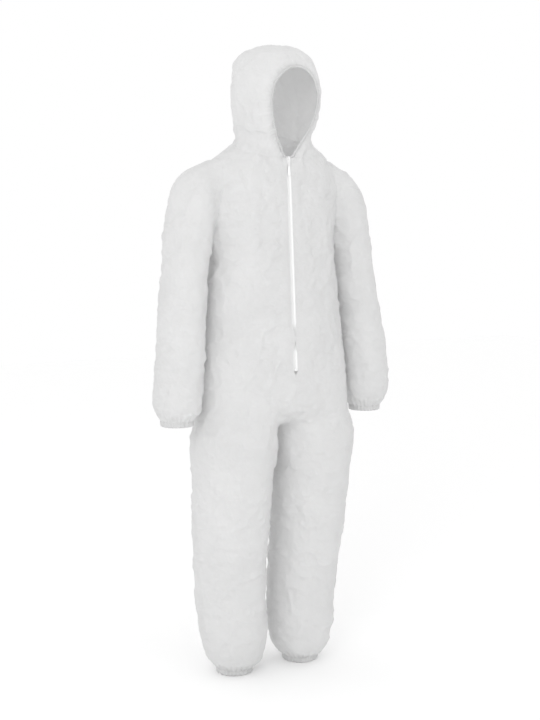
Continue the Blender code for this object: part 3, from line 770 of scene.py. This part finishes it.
def keep_rest(item):
    """Remember where each point is at rest, for the textures."""
    layer = item.data.attributes.new("rest", "FLOAT_VECTOR", "POINT")
    layer.data.foreach_set("vector", coordinates(item.data).ravel())


def cuff_hem(name, x, y, top, radius):
    """Gathered channel round an elastic."""
    outline = [(-0.0004, 0.0016), (0.0010, 0.0002), (0.0013, -0.0040), (0.0012, -0.0090),
               (0.0004, -0.0128), (-0.0010, -0.0146), (-0.0024, -0.0128), (-0.0030, -0.0080),
               (-0.0028, -0.0030), (-0.0018, 0.0004)]
    rows = []
    for turn in np.linspace(-math.pi, math.pi, 180, endpoint=False):
        pleat = math.sin(pleats(turn))
        fine = math.sin(41 * turn + 1.7 * math.sin(4 * turn + 1))
        row = []
        for out, up in outline:
            ripple = 0.0004 * fine * (0.5 + 0.5 * math.cos(up * 260))
            r = radius - 0.0008 + out + 0.0011 * pleat + ripple
            rise = 0.0005 * fine if up > -0.012 else 0
            row.append((x + r * math.cos(turn), y + r * math.sin(turn), top + up + rise))
        rows.append(row)
    return swept(name, rows, True)


def face_hem(rest, points, edge):
    """Narrow gathered hem round the face opening, from the right of the chin to the left."""
    rim = edge & (rest[:, 2] > 1.4685) & (rest[:, 1] < 0)
    turn = np.arctan2(rest[rim, 0], rest[rim, 2] - FACE_MIDDLE)
    outline = ((-0.0050, -0.0006), (-0.0036, 0.0012), (-0.0008, 0.0018), (0.0016, 0.0013),
               (0.0028, 0.0), (0.0016, -0.0012), (-0.0008, -0.0016), (-0.0036, -0.0014))
    order = np.argsort(turn)
    turn, spots = turn[order], points[rim][order]
    fine = np.linspace(turn[0], turn[-1], 260)
    path = np.stack([np.interp(fine, turn, spots[:, k]) for k in range(3)], 1)
    for _ in range(6):
        path[1:-1] = (path[:-2] + 2 * path[1:-1] + path[2:]) / 4
    rows = []
    for i, p in enumerate(path):
        along = Vector(path[min(i + 1, len(path) - 1)] - path[max(i - 1, 0)]).normalized()
        inward = Vector((-p[0], 0.030, FACE_MIDDLE - p[2]))
        inward = (inward - along * inward.dot(along)).normalized()
        out = along.cross(inward).normalized()
        if out.y > 0:
            out = -out
        wave = math.sin(61 * fine[i] + 3.0 * math.sin(5 * fine[i]))
        row = []
        for reach, rise in outline:
            spot = Vector(p) + inward * (reach + 0.0004 * wave) + out * (rise + 0.0008 * wave)
            row.append(tuple(spot))
        rows.append(row)
    return swept("face_hem_gathered", rows, False)


# ---- zip and label ---------------------------------------------------------------------
def zip_matrix():
    """Frame of the zip: x across, y up along the chain, z out of the suit."""
    up = (ZIP_TOP - ZIP_BOTTOM).normalized()
    across = Vector((1, 0, 0))
    out = across.cross(up)
    turn = Matrix((across, up, out)).transposed().to_4x4()
    return Matrix.Translation(ZIP_TOP - out * ZIP_SET_BACK) @ turn


def zip_chain(side, word):
    """Row of interlocking moulded teeth."""
    place = zip_matrix()
    length = (ZIP_TOP - ZIP_BOTTOM).length
    outline = ((-0.62, -0.9), (0.62, -0.9), (0.95, -0.45), (0.95, 0.45),
               (0.62, 0.9), (-0.62, 0.9), (-0.95, 0.45), (-0.95, -0.45))
    half_high, half_thick = 0.00092, 0.00105
    points, faces = [], []
    pitch = 0.0024
    count = int((length - 0.012) / pitch)
    for i in range(count):
        y = -0.0045 - pitch * (i + (0.5 if side > 0 else 0.0))
        base = len(points)
        for x, grow in ((-0.0002, 0.80), (0.0006, 1.0), (0.0022, 0.92), (0.0030, 0.70)):
            for a, b in outline:
                spot = Vector((side * x, y + a * half_high * grow, b * half_thick * grow))
                points.append(place @ spot)
        for r in range(3):
            for k in range(8):
                n = (k + 1) % 8
                low = base + r * 8
                quad = (low + k, low + n, low + 8 + n, low + 8 + k)
                faces.append(quad if side < 0 else quad[::-1])
        caps = [tuple(base + k for k in range(7, -1, -1)), tuple(base + 24 + k for k in range(8))]
        faces += caps if side < 0 else [c[::-1] for c in caps]
    item = new_object(f"zip_chain_{word}", points, faces)
    item.data.set_sharp_from_angle(angle=math.radians(35))
    return item


def zip_tape(side, word):
    """Woven tape with a raised edge beside the teeth."""
    place = zip_matrix()
    length = (ZIP_TOP - ZIP_BOTTOM).length
    outline = [(0.0002, -0.0009), (0.0036, -0.0007), (0.0056, 0.0016), (0.0125, 0.0019), (0.0125, 0.0024),
               (0.0054, 0.0022), (0.0042, 0.0009), (0.0034, 0.0007), (0.0028, -0.0002), (0.0002, -0.0004)]
    rows = []
    for y in np.linspace(-length, 0.0055, 60):
        rows.append([tuple(place @ Vector((side * a, y, b))) for a, b in outline])
    return swept(f"zip_tape_woven_{word}", rows, False)


def neck_label():
    """Blank woven label sewn inside the back of the neck, a little curved."""
    outline = ((1.446, 1), (1.440, 1), (1.430, 1), (1.420, 1), (1.4195, 0),
               (1.420, -1), (1.430, -1), (1.440, -1), (1.446, -1))
    rows = []
    for u in np.linspace(-1, 1, 15):
        row = []
        for z, thick in outline:
            y = 0.0930 - 0.0012 * (1 - u * u) - 0.0008 * math.sin((z - 1.42) * 100) + 0.00018 * thick
            row.append((0.018 * u, y, z))
        rows.append(row)
    return swept("neck_label_blank", rows, False)


# ---- materials -------------------------------------------------------------------------
def node(tree, kind, **inputs):
    """Add one shader node and set some of its inputs."""
    made = tree.nodes.new(kind)
    for key, value in inputs.items():
        made.inputs[key.replace("_", " ")].default_value = value
    return made


def base_material(name, rough):
    """New Principled material."""
    material = bpy.data.materials.new(name)
    material.use_nodes = True
    tree = material.node_tree
    shader = tree.nodes["Principled BSDF"]
    shader.inputs["Roughness"].default_value = rough
    return material, tree, shader


def place_of(tree, at_rest):
    """Texture place: where the cloth was at rest, or the place in the object."""
    if at_rest:
        found = tree.nodes.new("ShaderNodeAttribute")
        found.attribute_name = "rest"
        return found.outputs["Vector"]
    return tree.nodes.new("ShaderNodeTexCoord").outputs["Object"]


def cloth_material(name, light, dark, crinkle=1.0):
    """Nonwoven cloth: bonded dots, fine crinkles, slight shade changes and a soft sheen."""
    material, tree, shader = base_material(name, 0.62)
    shader.inputs["Sheen Weight"].default_value = 0.12
    shader.inputs["Sheen Roughness"].default_value = 0.45
    shader.inputs["Specular IOR Level"].default_value = 0.32
    link = tree.links.new
    place = place_of(tree, True)
    shade = node(tree, "ShaderNodeTexNoise", Scale=7.0, Detail=4.0, Roughness=0.6)
    link(place, shade.inputs["Vector"])
    fibre = node(tree, "ShaderNodeTexNoise", Scale=420.0, Detail=3.0, Roughness=0.7, Distortion=1.2)
    link(place, fibre.inputs["Vector"])
    mixed = tree.nodes.new("ShaderNodeMath")
    mixed.operation = "MULTIPLY_ADD"
    mixed.inputs[1].default_value = 0.35
    link(fibre.outputs["Fac"], mixed.inputs[0])
    link(shade.outputs["Fac"], mixed.inputs[2])
    ramp = tree.nodes.new("ShaderNodeValToRGB")
    ramp.color_ramp.elements[0].position = 0.45
    ramp.color_ramp.elements[0].color = (*dark, 1)
    ramp.color_ramp.elements[1].position = 0.85
    ramp.color_ramp.elements[1].color = (*light, 1)
    link(mixed.outputs[0], ramp.inputs["Fac"])
    link(ramp.outputs["Color"], shader.inputs["Base Color"])
    cells = node(tree, "ShaderNodeTexVoronoi", Scale=520.0, Randomness=0.25)
    link(place, cells.inputs["Vector"])
    creases = node(tree, "ShaderNodeTexNoise", Scale=46.0, Detail=5.0, Roughness=0.62, Distortion=0.9)
    link(place, creases.inputs["Vector"])
    first = node(tree, "ShaderNodeBump", Strength=0.30, Distance=0.0004)
    link(cells.outputs["Distance"], first.inputs["Height"])
    second = node(tree, "ShaderNodeBump", Strength=0.75 * crinkle, Distance=0.0045)
    link(creases.outputs["Fac"], second.inputs["Height"])
    link(first.outputs["Normal"], second.inputs["Normal"])
    link(second.outputs["Normal"], shader.inputs["Normal"])
    through = tree.nodes.new("ShaderNodeBsdfTranslucent")
    link(ramp.outputs["Color"], through.inputs["Color"])
    link(second.outputs["Normal"], through.inputs["Normal"])
    both = tree.nodes.new("ShaderNodeMixShader")
    both.inputs["Fac"].default_value = SEE_THROUGH
    link(shader.outputs["BSDF"], both.inputs[1])
    link(through.outputs["BSDF"], both.inputs[2])
    link(both.outputs["Shader"], tree.nodes["Material Output"].inputs["Surface"])
    return material


def woven_material(name, colour, pitch):
    """Fine rib of a woven tape."""
    material, tree, shader = base_material(name, 0.70)
    link = tree.links.new
    place = place_of(tree, False)
    rib = node(tree, "ShaderNodeTexWave", Scale=pitch, Distortion=0.6, Detail=2.0)
    rib.bands_direction = "Z"
    link(place, rib.inputs["Vector"])
    ramp = tree.nodes.new("ShaderNodeValToRGB")
    ramp.color_ramp.elements[0].color = (*[c * 0.93 for c in colour], 1)
    ramp.color_ramp.elements[1].color = (*colour, 1)
    link(rib.outputs["Fac"], ramp.inputs["Fac"])
    link(ramp.outputs["Color"], shader.inputs["Base Color"])
    bump = node(tree, "ShaderNodeBump", Strength=0.5, Distance=0.0003)
    link(rib.outputs["Fac"], bump.inputs["Height"])
    link(bump.outputs["Normal"], shader.inputs["Normal"])
    return material


def plastic_material(name, colour, rough):
    """Moulded plastic with faint scuffs."""
    material, tree, shader = base_material(name, rough)
    link = tree.links.new
    place = place_of(tree, False)
    scuff = node(tree, "ShaderNodeTexNoise", Scale=900.0, Detail=3.0)
    link(place, scuff.inputs["Vector"])
    ramp = tree.nodes.new("ShaderNodeValToRGB")
    ramp.color_ramp.elements[0].position = 0.3
    ramp.color_ramp.elements[0].color = (*[c * 0.94 for c in colour], 1)
    ramp.color_ramp.elements[1].color = (*colour, 1)
    link(scuff.outputs["Fac"], ramp.inputs["Fac"])
    link(ramp.outputs["Color"], shader.inputs["Base Color"])
    bump = node(tree, "ShaderNodeBump", Strength=0.15, Distance=0.0001)
    link(scuff.outputs["Fac"], bump.inputs["Height"])
    link(bump.outputs["Normal"], shader.inputs["Normal"])
    return material


def paint(item, material):
    """Give a piece one material."""
    item.data.materials.clear()
    item.data.materials.append(material)


PANELS = {
    # name: two bodies, nodes that it stands for, flat width and length, flat area
    "hood_panel": ("torso", "hood", ("hood",), (0.29, 0.40), 0.0985),
    "front_panel": ("torso", "upper_leg", ("torso_front", "thigh"), (0.31, 1.03), 0.284),
    "back_panel": ("torso", "upper_leg", ("torso_back",), (0.32, 1.08), 0.305),
    "sleeve_upper": ("torso", "upper_arm", ("upper_sleeve",), (0.47, 0.36), 0.146),
    "lower_sleeve": ("upper_arm", "lower_arm", ("forearm",), (0.45, 0.36), 0.154),
    "lower_leg": ("upper_leg", "lower_leg", ("shin",), (0.66, 0.51), 0.333),
}


def dress(panels, hems, cloth):
    for full, item in panels.items():
        kind, word = full.rsplit("_", 1)
        a, b, nodes, flat, area = PANELS[kind]
        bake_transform(item)
        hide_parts(*[f"{n}_{word}" for n in nodes])
        paint(item, cloth)


def make_hems(rest, points, edge, material):
    """The four cuff hems and the face hem, by the name of the panel that each one edges."""
    hems = {}
    for side, word in SIDES:
        for kind, (x, y, z, r), body, panel in (
            ("wrist", WRIST, "lower_arm", "lower_sleeve"),
            ("ankle", ANKLE, "lower_leg", "lower_leg"),
        ):
            item = cuff_hem(f"{kind}_hem_gathered_{word}", side * x, y, z, r)
            paint(item, material)
            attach(item, f"{body}_{word}")
            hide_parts(f"{kind}_hem_{word}", f"{kind}_elastic_{word}")
            hems[f"{panel}_{word}"] = [item]
    face = face_hem(rest, points, edge)
    paint(face, material)
    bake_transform(face)
    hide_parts("face_hem", "face_elastic")
    hems["hood_panel_right"] = [face]
    return hems


def make_zip():
    """Teeth, tapes, materials of the zip, and the label."""
    tape = woven_material("zip_tape_weave", (0.98, 0.98, 0.98), 900.0)
    plastic = plastic_material("zip_plastic", (0.97, 0.97, 0.97), 0.35)
    for side, word in SIDES:
        chain = zip_chain(side, word)
        paint(chain, plastic)
        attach(chain, "torso")
        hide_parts(f"zip_teeth_{word}")
        strip = zip_tape(side, word)
        paint(strip, tape)
        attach(strip, "torso")
        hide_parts(f"zip_tape_{word}")
        paint(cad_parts[f"zip_top_stop_{word}"], plastic)
    for name in ("zip_bottom_stop", "zip_slider", "zip_puller"):
        paint(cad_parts[name], plastic)
        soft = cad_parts[name].modifiers.new("soft_edges", "BEVEL")
        soft.width = 0.0004
        soft.segments = 2
    label = neck_label()
    paint(label, woven_material("label_weave", (0.86, 0.86, 0.85), 1500.0))
    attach(label, "torso")
    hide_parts("neck_label")


def main():
    """Build the suit and the floor."""
    whole = suit_body()
    open_ends(whole)
    move = simulate(whole)
    mesh = seamed(finer(whole, move))
    drop(whole)
    rest, points, normals = sculpt(mesh)
    edge = open_edge(mesh)
    panels = split_panels(mesh, rest, points, normals)
    cloth = cloth_material("nonwoven_cloth", (0.812, 0.812, 0.812), (0.762, 0.762, 0.762))
    gathered = cloth_material("nonwoven_hem", (0.785, 0.785, 0.785), (0.720, 0.720, 0.720), 1.4)
    dress(panels, make_hems(rest, points, edge, gathered), cloth)
    make_zip()
    make_floor()


def make_floor():
    """Pale studio floor."""
    half = 8
    corners = [(-half, -half, 0), (half, -half, 0), (half, half, 0), (-half, half, 0)]
    floor = new_object("floor", corners, [(0, 1, 2, 3)])
    floor.location.z = -0.0005
    material, _, shader = base_material("floor_pale", 0.9)
    shader.inputs["Base Color"].default_value = (0.93, 0.93, 0.93, 1)
    shader.inputs["Emission Color"].default_value = (1, 1, 1, 1)
    shader.inputs["Emission Strength"].default_value = 0.06
    paint(floor, material)


def make_camera():
    """Camera at the angle of the photograph."""
    data = bpy.data.cameras.new("camera")
    item = bpy.data.objects.new("camera", data)
    bpy.context.scene.collection.objects.link(item)
    data.lens = 65.5
    data.sensor_width = 36.0
    data.shift_x = -0.0031
    turn, tilt = math.radians(-31.47), math.radians(90 - 6.129)
    away, height = 3.711, 1.298
    item.location = (away * math.sin(turn), -away * math.cos(turn), height)
    item.rotation_euler = (tilt, 0.0, turn)
    bpy.context.scene.camera = item


def area_light(name, place, size, power):
    """Large soft lamp that faces the suit."""
    data = bpy.data.lights.new(name, "AREA")
    data.energy = power
    data.size = size
    item = bpy.data.objects.new(name, data)
    bpy.context.scene.collection.objects.link(item)
    item.location = place
    item.rotation_euler = (Vector((0, 0, 1.0)) - item.location).to_track_quat("-Z", "Y").to_euler()


def make_light():
    """Even white surroundings and one large soft lamp from the left of the camera."""
    world = bpy.data.worlds.new("studio")
    bpy.context.scene.world = world
    world.use_nodes = True
    background = world.node_tree.nodes["Background"]
    background.inputs["Color"].default_value = (1, 1, 1, 1)
    background.inputs["Strength"].default_value = 1.0
    area_light("key", (-2.8, -2.8, 2.6), size=1.5, power=32)
    bpy.context.scene.view_settings.view_transform = "Standard"


make_camera()
make_light()
main()
